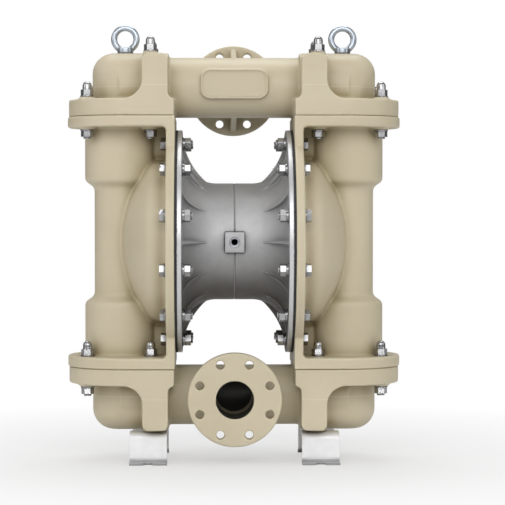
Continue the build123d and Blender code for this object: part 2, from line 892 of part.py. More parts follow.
def chamber_washers(side, places, thickness, radius):
    """Washers of one clamp plate, with their inner faces at the given places along the shaft."""
    with BuildPart() as discs:
        for x in places:
            with BuildSketch(across(x, side)):
                with PolarLocations(bolt_circle, bolt_count, start_angle=bolt_start):
                    Circle(radius)
                    Circle(bolt_radius + seat_gap, mode=Mode.SUBTRACT)
            extrude(amount=thickness)
    return discs.part


def eye_bolt(x):
    """Forged lifting eye with its collar and threaded shank."""
    with BuildPart() as eye:
        with BuildSketch(level(top_end, x)):
            Circle(eye_collar_radius)
        extrude(amount=eye_collar_height)
        with Locations(Location((x, 0, top_end + eye_rise), (90, 0, 0))):
            Torus((eye_outer_radius + eye_inner_radius) / 2, (eye_outer_radius - eye_inner_radius) / 2)
        with BuildSketch(level(top_end - eye_shank, x)):
            Circle(bolt_radius)
        extrude(amount=eye_shank)
    return eye.part


def foot(side, front):
    """Foot bent from sheet: clamped top, upright web and slotted sole."""
    middle = bend_radius + sheet / 2
    web_y = foot_web_y - sheet / 2
    section = Plane(origin=(side * foot_x - foot_width / 2, 0, 0), x_dir=(0, front, 0), z_dir=(front, 0, 0))
    with BuildPart() as bracket:
        with BuildSketch(section):
            with BuildLine() as bend_line:
                FilletPolyline(
                    (foot_web_y - foot_top_depth, foot_height - sheet / 2),
                    (web_y, foot_height - sheet / 2),
                    (web_y, sheet / 2),
                    (foot_web_y + foot_reach, sheet / 2),
                    radius=middle,
                )
            trace(line_width=sheet)
        extrude(amount=front * foot_width)
        with BuildSketch(level(0)):
            with Locations((side * foot_x, front * (foot_web_y + foot_reach))):
                SlotOverall(2 * foot_slot_depth, foot_slot, rotation=90)
        extrude(amount=sheet, mode=Mode.SUBTRACT)
        with BuildSketch(level(foot_height - sheet)):
            with Locations((side * stud_inner_x, front * stud_half)):
                Circle(hole_radius)
        extrude(amount=sheet, mode=Mode.SUBTRACT)
    return bracket.part


def inlet_block():
    """Square air inlet with its threaded hole and the tail that reaches the exchanger."""
    with BuildPart() as block:
        with BuildSketch(facing(-inlet_face + block_depth, axis_z)):
            Rectangle(inlet_width, inlet_height)
        extrude(amount=block_depth)
        with BuildSketch(facing(-housing_bore - seat_gap, axis_z)):
            Circle(air_tail_radius)
        extrude(amount=inlet_face - block_depth - housing_bore - seat_gap)
        with BuildSketch(facing(-inlet_face, axis_z)):
            Circle(air_hole_radius)
        extrude(amount=-air_hole_depth, mode=Mode.SUBTRACT)
        with BuildSketch(facing(-inlet_face, axis_z)):
            Circle(air_port_radius)
        extrude(amount=-inlet_face + housing_bore, mode=Mode.SUBTRACT)
        mouth = block.edges().filter_by(GeomType.CIRCLE).sort_by(Axis.Y)[0]
        chamfer(mouth, block_chamfer)
    return block.part


def exhaust_block():
    """Square exhaust outlet on the rear of the waist."""
    with BuildPart() as block:
        with BuildSketch(facing(inlet_face, axis_z)):
            Rectangle(exhaust_size, exhaust_size)
            Circle(silencer_neck + thread_gap, mode=Mode.SUBTRACT)
        extrude(amount=block_depth)
    return block.part


def silencer():
    """Compact exhaust silencer: threaded neck and a slotted round body."""
    with BuildPart() as can:
        with BuildSketch(facing(inlet_face, axis_z)):
            Circle(silencer_neck)
            Circle(air_port_radius, mode=Mode.SUBTRACT)
        extrude(amount=silencer_neck)
        with BuildSketch(facing(inlet_face + silencer_length, axis_z)):
            Circle(silencer_radius)
            Circle(silencer_radius - silencer_wall, mode=Mode.SUBTRACT)
        extrude(amount=silencer_length)
        for y in (inlet_face + silencer_wall, inlet_face + silencer_length):
            with BuildSketch(facing(y, axis_z)):
                Circle(silencer_radius)
            extrude(amount=silencer_wall)
        with BuildSketch(facing(inlet_face + silencer_wall, axis_z)):
            Circle(air_port_radius)
        extrude(amount=silencer_wall, mode=Mode.SUBTRACT)
        with BuildSketch(across(0)):
            for row in range(silencer_rows):
                with Locations((inlet_face + silencer_pitch * (row + 1), 0)):
                    Rectangle(silencer_slot, silencer_radius)
        extrude(amount=silencer_radius, both=True, mode=Mode.SUBTRACT)
    return can.part


def cartridge():
    """Fixed sleeve of the air exchanger with its air ports."""
    with BuildPart() as sleeve:
        add(tube_ring(-cartridge_half, 2 * cartridge_half, cartridge_bore, housing_bore - seat_gap))
        with BuildSketch(facing(-cartridge_bore / 2, axis_z)):
            Circle(air_port_radius)
        extrude(amount=housing_bore, mode=Mode.SUBTRACT)
        with BuildSketch(facing(cartridge_bore / 2, axis_z)):
            with Locations((-cartridge_half / 2, 0), (cartridge_half / 2, 0)):
                Circle(air_port_radius)
        extrude(amount=-housing_bore, mode=Mode.SUBTRACT)
    return sleeve.part


def spool():
    """Sliding ring of the air exchanger, with two grooves that switch the air."""
    with BuildPart() as slider:
        add(tube_ring(-spool_half, 2 * spool_half, spool_bore, cartridge_bore - running_gap))
        for centre in (-spool_half / 2, spool_half / 2):
            with BuildSketch(across(centre - spool_groove / 2)):
                Circle(cartridge_bore)
                Circle(cartridge_bore - spool_groove_depth, mode=Mode.SUBTRACT)
            extrude(amount=spool_groove, mode=Mode.SUBTRACT)
    return slider.part


def joint_gasket():
    """Thin gasket between the two air chambers: rim with tie bosses, and housing ring."""
    block_cut = 2 * (waist_radius - block_boss_back)
    with BuildPart() as gasket:
        with BuildSketch(across(-half_gasket)):
            Circle(waist_radius - gasket_inset)
            Circle(plenum_radius, mode=Mode.SUBTRACT)
            with PolarLocations(tie_circle, tie_count, start_angle=tie_start):
                Circle(tie_boss_radius)
                Circle(tie_radius + seat_gap, mode=Mode.SUBTRACT)
            Circle(housing_radius)
            Circle(housing_bore, mode=Mode.SUBTRACT)
            with Locations((-waist_radius, 0), (waist_radius, 0)):
                Rectangle(block_cut, exhaust_size + 2 * seat_gap, mode=Mode.SUBTRACT)
            with Locations((-housing_bore, 0)):
                Rectangle(housing_bore, 2 * (air_tail_radius + seat_gap), mode=Mode.SUBTRACT)
        extrude(amount=gasket_thickness)
    return gasket.part


plastic = "antiquewhite"
aluminium = "gray"
steel = "lightsteelblue"
rubber = "black"
white = "white"

columns = ((-1, "left"), (1, "right"))
levels = ((bottom_joint, "inlet"), (top_joint - pocket_depth, "discharge"))

inlet_manifold = manifold()
save(inlet_manifold, "inlet_manifold", plastic)

with BuildPart() as discharge_manifold:
    add(inlet_manifold.rotate(shaft_axis, 180))
    with BuildSketch(facing(-tube_radius - pad_proud, axis_z + axis_to_tube + pad_rise)):
        RectangleRounded(pad_width, pad_height, pad_corner)
    extrude(amount=-tube_radius + tube_bore - pad_proud)
    with BuildSketch(facing(-tube_radius - pad_proud, axis_z + axis_to_tube + pad_rise)):
        RectangleRounded(pad_width - 2 * pad_rim, pad_height - 2 * pad_rim, pad_corner - pad_rim)
    extrude(amount=-pad_recess, mode=Mode.SUBTRACT)
    with BuildSketch(across(-pad_width)):
        with Locations((0, axis_to_tube)):
            Circle(tube_bore)
    extrude(amount=2 * pad_width, mode=Mode.SUBTRACT)
    with BuildSketch(level(top_end)):
        with Locations((-eye_x, 0), (eye_x, 0)):
            Circle(bolt_radius + thread_gap)
    extrude(amount=-eye_shank - seat_gap, mode=Mode.SUBTRACT)
save(discharge_manifold.part, "discharge_manifold", plastic)

for side, name in columns:
    save(fluid_chamber(side), f"{name}_fluid_chamber", plastic)
    save(air_chamber(side), f"{name}_air_chamber", aluminium)
    save(diaphragm(side), f"{name}_diaphragm", rubber)
    save(outer_plate(side), f"{name}_outer_plate", white)
    save(inner_plate(side), f"{name}_inner_plate", aluminium)
    save(chamber_bolts(side), f"{name}_chamber_bolts", steel)
    save(chamber_nuts(side), f"{name}_chamber_nuts", steel)
    flat_places = (plate_out, air_flange_back - washer_thickness)
    flat_washers = chamber_washers(side, flat_places, washer_thickness, washer_radius)
    save(flat_washers, f"{name}_chamber_washers", steel)
    lock_places = (air_flange_back - washer_thickness - lock_thickness,)
    save(chamber_washers(side, lock_places, lock_thickness, lock_radius), f"{name}_lock_washers", steel)
    save(eye_bolt(side * eye_x), f"{name}_eye_bolt", steel)
    for z, duty in levels:
        save(valve_seat(side * column_x, z), f"{name}_{duty}_seat", white)
        save(ball_cage(side * column_x, z), f"{name}_{duty}_cage", white)
        save(ball(side * column_x, z), f"{name}_{duty}_ball", white)
    for front, place in ((-1, "front"), (1, "rear")):
        save(foot(side, front), f"{name}_{place}_foot", steel)

save(joint_gasket(), "centre_gasket", rubber)
save(inlet_block(), "air_inlet_block", aluminium)
save(exhaust_block(), "exhaust_block", aluminium)
save(silencer(), "exhaust_silencer", white)
save(cartridge(), "exchanger_cartridge", white)
save(spool(), "exchanger_spool", rubber)

with BuildPart() as shaft:
    with BuildSketch(across(-plate_in - shaft_engagement)):
        Circle(shaft_radius)
    extrude(amount=2 * (plate_in + shaft_engagement))
save(shaft.part, "diaphragm_shaft", steel)

with BuildPart() as end_rings:
    for side, name in columns:
        ring_length = housing_depth - cartridge_half
        add(tube_ring(cartridge_half, ring_length, end_ring_bore, housing_bore - seat_gap, side))
save(end_rings.part, "cartridge_end_rings", aluminium)

with BuildPart() as bushes:
    for side, name in columns:
        add(tube_ring(housing_depth, bush_length, shaft_radius + running_gap, bush_outer - seat_gap, side))
save(bushes.part, "shaft_bushes", white)

with BuildPart() as seals:
    for side, name in columns:
        seal_x = housing_depth + bush_length
        add(tube_ring(seal_x, seal_length, shaft_radius + running_gap, bush_outer - seat_gap, side))
save(seals.part, "shaft_seals", rubber)

with BuildPart() as orings:
    for side, name in columns:
        for z, duty in levels:
            with Locations((side * column_x, 0, z + oring_groove_depth / 2)):
                Torus(oring_radius, oring_section)
save(orings.part, "seat_o_rings", rubber)

with BuildPart() as tie_bolts:
    with BuildSketch(across(-air_floor_x + thread_end / 2)):
        with PolarLocations(tie_circle, tie_count, start_angle=tie_start):
            Circle(tie_radius)
    extrude(amount=2 * air_floor_x - tie_head_height - thread_end / 2)
    with BuildSketch(across(air_floor_x - tie_head_height)):
        with PolarLocations(tie_circle, tie_count, start_angle=tie_start):
            Circle(tie_head_radius)
    extrude(amount=tie_head_height)
save(tie_bolts.part, "centre_tie_bolts", steel)

with BuildPart() as tie_nuts:
    with BuildSketch(across(air_floor_x - tie_head_height, -1)):
        with PolarLocations(tie_circle, tie_count, start_angle=180 - tie_start):
            RegularPolygon(tie_head_radius, 6, major_radius=False)
            Circle(tie_radius + thread_gap, mode=Mode.SUBTRACT)
    extrude(amount=tie_nut_height)
save(tie_nuts.part, "centre_tie_nuts", steel)

for duty in ("inlet", "discharge"):
    spans = []
    acorns = []
    nuts = []
    rings = []
    for side, name in columns:
        for x, y in stud_places(side, (stud_inner_x, stud_outer_x)):
            inner = abs(x) < column_x
            if duty == "inlet":
                acorn_seat = bottom_joint + flange_thickness
                nut_seat = foot_height - sheet if inner else bottom_joint - manifold_flange - boss_height
            else:
                acorn_seat = top_end if inner else top_joint + manifold_flange + boss_height
                nut_seat = top_joint - flange_thickness - boss_height
            rings.append((x, y, acorn_seat))
            rings.append((x, y, nut_seat - washer_thickness))
            acorns.append((x, y, acorn_seat + washer_thickness))
            nuts.append((x, y, nut_seat - washer_thickness))
            nut_end = nut_seat - washer_thickness - nut_height - thread_end
            spans.append((x, y, nut_end, acorn_seat + washer_thickness + acorn_depth))
    save(studs(spans), f"{duty}_studs", steel)
    save(acorn_nuts(acorns), f"{duty}_acorn_nuts", steel)
    save(hex_nuts(nuts), f"{duty}_hex_nuts", steel)
    save(washers(rings), f"{duty}_washers", steel)
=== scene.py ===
import json
import math

import bmesh
import bpy
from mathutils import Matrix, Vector


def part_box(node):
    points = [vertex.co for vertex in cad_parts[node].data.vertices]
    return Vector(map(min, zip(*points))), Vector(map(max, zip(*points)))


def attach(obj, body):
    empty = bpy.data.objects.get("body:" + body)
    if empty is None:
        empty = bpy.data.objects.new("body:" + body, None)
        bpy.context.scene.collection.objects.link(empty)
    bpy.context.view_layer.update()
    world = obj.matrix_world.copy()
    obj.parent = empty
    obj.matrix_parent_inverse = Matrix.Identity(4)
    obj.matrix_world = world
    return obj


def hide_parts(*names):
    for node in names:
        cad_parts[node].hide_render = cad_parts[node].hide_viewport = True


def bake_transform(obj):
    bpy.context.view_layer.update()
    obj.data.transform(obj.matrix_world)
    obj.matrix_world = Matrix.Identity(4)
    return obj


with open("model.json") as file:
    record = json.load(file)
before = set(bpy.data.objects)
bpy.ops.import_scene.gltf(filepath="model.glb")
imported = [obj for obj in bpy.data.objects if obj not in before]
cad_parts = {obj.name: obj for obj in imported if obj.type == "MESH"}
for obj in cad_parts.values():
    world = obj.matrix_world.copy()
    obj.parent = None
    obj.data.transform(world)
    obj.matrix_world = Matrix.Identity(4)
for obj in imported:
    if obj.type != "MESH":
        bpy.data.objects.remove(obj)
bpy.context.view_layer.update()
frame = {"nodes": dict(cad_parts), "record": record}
nodes = frame["nodes"]
sides = ("left", "right")
duties = ("inlet", "discharge")

MM = 0.001

# Places read from the frame, in metres
SHAFT_Z = sum(corner.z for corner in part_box("diaphragm_shaft")) / 2
RIM_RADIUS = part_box("right_air_chamber")[1].y

# Pipes of the manifolds: height of the inlet's axis, radius of the ports, limit that lies in the wall
# of the cross tube, and where the pillars stand
INLET_PIPE_Z = 140 * MM
PIPE_HEIGHTS = (INLET_PIPE_Z, 2 * SHAFT_Z - INLET_PIPE_Z)
PORT_RADIUS = 40.4 * MM
TUBE_LIMIT = 56 * MM
PILLAR_REACH = 140 * MM
PILLAR_INNER = 136 * MM

# Bare pad of the discharge manifold, and its raised edge
PAD_WIDTH = 145 * MM
PAD_HEIGHT = 64 * MM
PAD_CORNER = 21 * MM
PAD_LIFT = 5.6 * MM
PAD_Z = PIPE_HEIGHTS[1] + PAD_LIFT
PAD_RIM = 5 * MM
PAD_RISE = 2.2 * MM
PAD_SINK = 0.6 * MM
PAD_STEPS = 8

# Diaphragms: wedges of each, and how close points are joined
WEDGES = 12
SEAM_GAP = 0.001 * MM

# Threads: pitch, points per turn, width of a flank, rods of the bolts and studs, hole of the air inlet
THREAD_PITCH = 1.8 * MM
THREAD_STEPS = 24
FLANK_SHARE = 0.42
ROD_RADIUS = 8 * MM
ROD_CREST = 8.4 * MM
ROD_BARE = 4 * MM
INLET_RADIUS = 10.25 * MM
INLET_HOLE = 10.6 * MM
INLET_LEAD = 2.5 * MM
INLET_DEPTH = 12 * MM
INLET_RISE = 0.9 * MM

# Floor, in metres: half its width, and where it starts and ends its run into the backdrop
FLOOR_HALF = 14.0
FLOOR_NEAR = 0.45
FLOOR_FAR = 1.3
FLOOR_RUN_OUT = 0.5

# Studio lights: name, place, aim, size in metres, power in watts, spread in degrees
LIGHTS = (
    ("front", (0, -3.9, 2.3), (0, 0, 0.45), (4.6, 2.8), 100, 180),
    ("left", (-3.4, -1.6, 1.9), (0, 0, 0.5), (1.2, 2.6), 22, 180),
    ("right", (3.4, -1.6, 1.9), (0, 0, 0.5), (1.2, 2.6), 18, 180),
    ("top", (0, 0.9, 3.5), (0, 0, 0.4), (2.8, 2.0), 52, 180),
    ("low", (0, -2.2, 0.06), (0, 0, 0.09), (1.6, 0.1), 0.06, 14),
)

# Room light: strength, and its grey from straight below to straight above
ROOM_STRENGTH = 0.75
ROOM_BELOW = (0.12, 0.12, 0.125, 1)
ROOM_LOW_AT = 0.25
ROOM_LOW = (0.5, 0.5, 0.5, 1)
ROOM_ABOVE = (0.55, 0.55, 0.56, 1)

# Rounding of the castings and of the fasteners: voxel and passes, or width of the edge
PLASTIC_VOXEL = 2.5 * MM
PLASTIC_PASSES = 4
ALUMINIUM_VOXEL = 1.5 * MM
ALUMINIUM_PASSES = 1
EYE_VOXEL = 1 * MM
EYE_PASSES = 4
SMOOTH_FACTOR = 0.5
HEX_EDGE = 0.8 * MM
WASHER_EDGE = 0.3 * MM
SHEET_EDGE = 0.5 * MM
BLOCK_EDGE = 0.6 * MM
WELD_GAP = 0.01 * MM
EDGE_SEGMENTS = 2
EDGE_ANGLE = 35

# Colours
PLASTIC_DEEP = (0.53, 0.465, 0.325)
PLASTIC_PALE = (0.58, 0.51, 0.365)
PLASTIC_FLOW = (0.61, 0.545, 0.405)
# Painted shade of the plastic's corners
PLASTIC_CORNER_SHADE = (0.24, 0.18, 0.06)
# Painted highlight on the plastic's outer edges
PLASTIC_EDGE_HIGHLIGHT = (0.72, 0.67, 0.5)
PLASTIC_SPLIT = (0.74, 0.7, 0.55)
PLASTIC_SPECK = (0.36, 0.31, 0.18)
# Painted shade deep in the port bores
PORT_PAINTED_SHADE = (0.05, 0.046, 0.038)
CAST_DEEP = (0.44, 0.44, 0.445)
CAST_PALE = (0.52, 0.52, 0.525)
CAST_GRAIN = (0.58, 0.58, 0.585)
# Painted shade of the aluminium's corners
CAST_CORNER_SHADE = (0.07, 0.066, 0.058)
# Painted highlight on the aluminium's outer edges
CAST_EDGE_HIGHLIGHT = (0.66, 0.66, 0.67)
# Painted shade on the aluminium's underside
CAST_UNDER_SHADE = (0.1, 0.092, 0.08)
# Painted light in the air inlet's hole
INLET_PAINTED_LIGHT = (0.82, 0.83, 0.87)
TURNED_DEEP = (0.6, 0.6, 0.61)
TURNED_PALE = (0.66, 0.66, 0.67)
# Painted shade of the fasteners' corners
STEEL_CORNER_SHADE = (0.04, 0.037, 0.034)
SHEET_DEEP = (0.82, 0.82, 0.83)
SHEET_PALE = (0.92, 0.92, 0.93)
SHEET_LIP = (0.34, 0.34, 0.35)
# Painted shade of the feet's corners
SHEET_CORNER_SHADE = (0.1, 0.1, 0.1)
FIBRE_DEEP = (0.4, 0.4, 0.4)
FIBRE_PALE = (0.52, 0.52, 0.52)
WHITE_DEEP = (0.72, 0.72, 0.69)
WHITE_PALE = (0.8, 0.8, 0.77)
FLOOR_DEEP = (0.78, 0.78, 0.78)
FLOOR_PALE = (0.8, 0.8, 0.8)

# Bounds of the marks on the castings and sheets: parting line, turned rim, painted shade on the
# underside, foot lip
PARTING_CORE = 0.3 * MM
PARTING_EDGE = 1.0 * MM
RIM_START = 1.2 * MM
RIM_FULL = 0.4 * MM
UNDER_LOW = SHAFT_Z - 120 * MM
UNDER_HIGH = SHAFT_Z + 10 * MM
LIP_LOW = 9 * MM
LIP_HIGH = 14 * MM

# How far the painted shade of corners reaches
PLASTIC_SHADE = 35 * MM
CAST_SHADE = 45 * MM
STEEL_SHADE = 10 * MM
SHEET_SHADE = 12 * MM

# Camera, fitted to the photo: its place, its aim and its lens
CAMERA_PLACE = Vector((-0.0587, -4.6, 0.552))
PHOTO_SIZE = 505
VANISHING_PIXEL = (207.0, 205.0)
FOCAL_PIXELS = 2115.0
SENSOR_WIDTH = 36.0


def add_camera():
    data = bpy.data.cameras.new("camera")
    data.sensor_width = SENSOR_WIDTH
    data.lens = FOCAL_PIXELS / PHOTO_SIZE * SENSOR_WIDTH
    data.clip_end = 50.0
    camera = bpy.data.objects.new("camera", data)
    bpy.context.scene.collection.objects.link(camera)
    middle = PHOTO_SIZE / 2
    aim = Vector(
        (
            (middle - VANISHING_PIXEL[0]) / FOCAL_PIXELS,
            1.0,
            (VANISHING_PIXEL[1] - middle) / FOCAL_PIXELS,
        )
    )
    camera.location = CAMERA_PLACE
    camera.rotation_euler = aim.to_track_quat("-Z", "Y").to_euler()
    bpy.context.scene.camera = camera


def add_area_light(name, place, target, size, power, spread):
    data = bpy.data.lights.new(name, "AREA")
    data.shape = "RECTANGLE"
    data.size, data.size_y = size
    data.energy = power
    data.spread = math.radians(spread)
    light = bpy.data.objects.new(name, data)
    bpy.context.scene.collection.objects.link(light)
    light.location = place
    light.rotation_euler = (Vector(target) - Vector(place)).to_track_quat("-Z", "Y").to_euler()


def add_stage():
    """Pale floor and soft studio light."""
    mesh = bpy.data.meshes.new("floor")
    half = FLOOR_HALF
    corners = [(-half, -half, 0), (half, -half, 0), (half, half, 0), (-half, half, 0)]
    mesh.from_pydata(corners, [], [(0, 1, 2, 3)])
    floor = bpy.data.objects.new("floor", mesh)
    bpy.context.scene.collection.objects.link(floor)
    mesh.materials.append(floor_material())

    for light in LIGHTS:
        add_area_light(*light)
    bpy.context.scene.world = studio_world()
    bpy.context.scene.view_settings.view_transform = "Standard"


def floor_material():
    """Pale matt floor that runs out into the white of the backdrop."""
    m = Nodes("floor")
    tone = m.mix(m.noise(3.0, 4.0), FLOOR_DEEP, FLOOR_PALE)
    m.finish(tone, 0.9)
    x, y, _ = m.place_parts()
    far = m.remap(m.math("SQRT", m.squares(x, y)), FLOOR_NEAR, FLOOR_FAR, FLOOR_RUN_OUT, 1.0)
    path = m.new("ShaderNodeLightPath")
    glow = m.new("ShaderNodeEmission")
    blend = m.new("ShaderNodeMixShader")
    m.link(m.math("MULTIPLY", far, path.outputs["Is Camera Ray"]), blend.inputs["Fac"])
    m.link(m.shader.outputs["BSDF"], blend.inputs[1])
    m.link(glow.outputs["Emission"], blend.inputs[2])
    m.link(blend.outputs["Shader"], m.tree.nodes["Material Output"].inputs["Surface"])
    return m.material


def studio_world():
    """White to the camera, and a soft grey room with a darker horizon for light and reflections."""
    world = bpy.data.worlds.new("studio")
    world.use_nodes = True
    tree = world.node_tree
    room = tree.nodes["Background"]
    room.inputs["Strength"].default_value = ROOM_STRENGTH
    place = tree.nodes.new("ShaderNodeTexCoord")
    height = tree.nodes.new("ShaderNodeSeparateXYZ")
    ramp = tree.nodes.new("ShaderNodeValToRGB")
    tree.links.new(place.outputs["Generated"], height.inputs["Vector"])
    tree.links.new(height.outputs["Z"], ramp.inputs["Fac"])
    ramp.color_ramp.elements[0].position = 0.0
    ramp.color_ramp.elements[0].color = ROOM_BELOW
    ramp.color_ramp.elements[1].position = 1.0
    ramp.color_ramp.elements[1].color = ROOM_ABOVE
    low = ramp.color_ramp.elements.new(ROOM_LOW_AT)
    low.color = ROOM_LOW
    tree.links.new(ramp.outputs["Color"], room.inputs["Color"])
    backdrop = tree.nodes.new("ShaderNodeBackground")
    backdrop.inputs["Color"].default_value = (1, 1, 1, 1)
    path = tree.nodes.new("ShaderNodeLightPath")
    choice = tree.nodes.new("ShaderNodeMixShader")
    tree.links.new(path.outputs["Is Camera Ray"], choice.inputs["Fac"])
    tree.links.new(room.outputs["Background"], choice.inputs[1])
    tree.links.new(backdrop.outputs["Background"], choice.inputs[2])
    tree.links.new(choice.outputs["Shader"], tree.nodes["World Output"].inputs["Surface"])
    return world


class Nodes:
    """Short way to build one material's node tree."""

    def __init__(self, name):
        self.material = bpy.data.materials.new(name)
        self.material.use_nodes = True
        self.tree = self.material.node_tree
        self.shader = self.tree.nodes["Principled BSDF"]

    def new(self, kind, **settings):
        node = self.tree.nodes.new(kind)
        for key, value in settings.items():
            setattr(node, key, value)
        return node

    def link(self, source, target):
        self.tree.links.new(source, target)

    def feed(self, value, socket):
        """Links an output, or sets a plain value."""
        if isinstance(value, bpy.types.NodeSocket):
            self.link(value, socket)
        else:
            socket.default_value = value

    def coordinates(self, stretch=(1, 1, 1)):
        place = self.new("ShaderNodeTexCoord")
        mapping = self.new("ShaderNodeMapping")
        mapping.inputs["Scale"].default_value = stretch
        self.link(place.outputs["Object"], mapping.inputs["Vector"])
        return mapping.outputs["Vector"]

    def noise(self, scale, detail=3.0, rough=0.55, stretch=(1, 1, 1)):
        node = self.new("ShaderNodeTexNoise")
        node.inputs["Scale"].default_value = scale
        node.inputs["Detail"].default_value = detail
        node.inputs["Roughness"].default_value = rough
        self.link(self.coordinates(stretch), node.inputs["Vector"])
        return node.outputs["Fac"]

    def remap(self, value, low, high, to_low, to_high):
        node = self.new("ShaderNodeMapRange")
        self.feed(value, node.inputs["Value"])
        node.inputs["From Min"].default_value = low
        node.inputs["From Max"].default_value = high
        node.inputs["To Min"].default_value = to_low
        node.inputs["To Max"].default_value = to_high
        return node.outputs["Result"]

    def math(self, operation, first, second=0.0):
        node = self.new("ShaderNodeMath", operation=operation)
        self.feed(first, node.inputs[0])
        self.feed(second, node.inputs[1])
        return node.outputs["Value"]

    def squares(self, first, second):
        """Sum of two squares."""
        first = self.math("MULTIPLY", first, first)
        return self.math("ADD", first, self.math("MULTIPLY", second, second))

    def mix(self, factor, first, second, blend="MIX"):
        node = self.new("ShaderNodeMix", data_type="RGBA", blend_type=blend)
        self.feed(factor, node.inputs["Factor"])
        for value, socket in ((first, node.inputs["A"]), (second, node.inputs["B"])):
            if isinstance(value, tuple):
                value = (*value, 1.0)
            self.feed(value, socket)
        return node.outputs["Result"]

    def place_parts(self):
        """Object-space x, y and z."""
        parts = self.new("ShaderNodeSeparateXYZ")
        self.link(self.coordinates(), parts.inputs["Vector"])
        return parts.outputs["X"], parts.outputs["Y"], parts.outputs["Z"]

    def shaft_distance(self):
        """Distance from the diaphragm shaft's axis."""
        _, y, z = self.place_parts()
        return self.math("SQRT", self.squares(y, self.math("SUBTRACT", z, SHAFT_Z)))

    def occlusion(self, distance):
        node = self.new("ShaderNodeAmbientOcclusion", samples=8)
        node.inputs["Distance"].default_value = distance
        return node.outputs["AO"]

    def edges(self, low, high, share):
        """How far a point lies on an outer edge of its mesh."""
        node = self.new("ShaderNodeNewGeometry")
        return self.remap(node.outputs["Pointiness"], low, high, 0.0, share)

    def bump(self, heights, strength, distance):
        """Chain of bumps, coarse first."""
        normal = None
        for height, share in heights:
            node = self.new("ShaderNodeBump")
            node.inputs["Strength"].default_value = strength * share
            node.inputs["Distance"].default_value = distance
            self.link(height, node.inputs["Height"])
            if normal is not None:
                self.link(normal, node.inputs["Normal"])
            normal = node.outputs["Normal"]
        self.link(normal, self.shader.inputs["Normal"])

    def finish(self, colour, roughness, metallic=0.0, **sockets):
        self.feed(colour, self.shader.inputs["Base Color"])
        self.feed(roughness, self.shader.inputs["Roughness"])
        self.shader.inputs["Metallic"].default_value = metallic
        for name, value in sockets.items():
            self.shader.inputs[name.replace("_", " ")].default_value = value
        return self.material


def moulded_plastic():
    """Beige moulded plastic: faint clouds and flow marks, fine orange peel, painted shade in the
    corners and the port bores, painted highlights on the outer edges.
    """
    m = Nodes("moulded_plastic")
    clouds = m.noise(5.0, 3.0)
    flow = m.noise(2.2, 4.0, 0.6, (1.0, 1.0, 5.0))
    colour = m.mix(m.remap(clouds, 0.35, 0.65, 0.0, 1.0), PLASTIC_DEEP, PLASTIC_PALE)
    colour = m.mix(m.remap(flow, 0.42, 0.7, 0.0, 0.35), colour, PLASTIC_FLOW)
    # Painted shade: occlusion darkens the corners towards olive brown.
    corner = m.remap(m.occlusion(PLASTIC_SHADE), 0.3, 0.95, 1.0, 0.0)
    colour = m.mix(m.math("MULTIPLY", corner, 0.65), colour, PLASTIC_CORNER_SHADE)
    # Painted highlight: the outer edges are lightened.
    colour = m.mix(m.edges(0.51, 0.56, 0.4), colour, PLASTIC_EDGE_HIGHLIGHT)
    x, y, z = m.place_parts()
    elbow = m.math("LESS_THAN", m.math("ABSOLUTE", y), PILLAR_REACH)
    beyond = m.math("GREATER_THAN", m.math("ABSOLUTE", x), PILLAR_INNER)
    elbow = m.math("MULTIPLY", elbow, beyond)
    for height, front in zip(PIPE_HEIGHTS, (1, -1)):
        rise = m.math("SUBTRACT", z, height)
        split = m.remap(m.math("ABSOLUTE", rise), PARTING_CORE, PARTING_EDGE, 0.35, 0.0)
        colour = m.mix(m.math("MULTIPLY", split, elbow), colour, PLASTIC_SPLIT)
        # Painted shade: the inside of each port bore is darkened.
        inside = m.math("LESS_THAN", m.squares(x, rise), PORT_RADIUS * PORT_RADIUS)
        within = m.math("LESS_THAN", m.squares(y, rise), TUBE_LIMIT * TUBE_LIMIT)
        neck = m.math("MAXIMUM", within, m.math("LESS_THAN", m.math("MULTIPLY", y, front), 0.0))
        colour = m.mix(m.math("MULTIPLY", inside, neck), colour, PORT_PAINTED_SHADE)
    speck = m.noise(900.0, 2.0)
    colour = m.mix(m.remap(speck, 0.66, 0.74, 0.0, 0.25), colour, PLASTIC_SPECK)
    roughness = m.remap(m.noise(40.0, 4.0), 0.3, 0.7, 0.36, 0.5)
    m.bump(((m.noise(18.0, 2.0), 0.35), (m.noise(420.0, 3.0), 0.5)), 0.25, 0.0006)
    return m.finish(colour, roughness, Specular_IOR_Level=0.45)


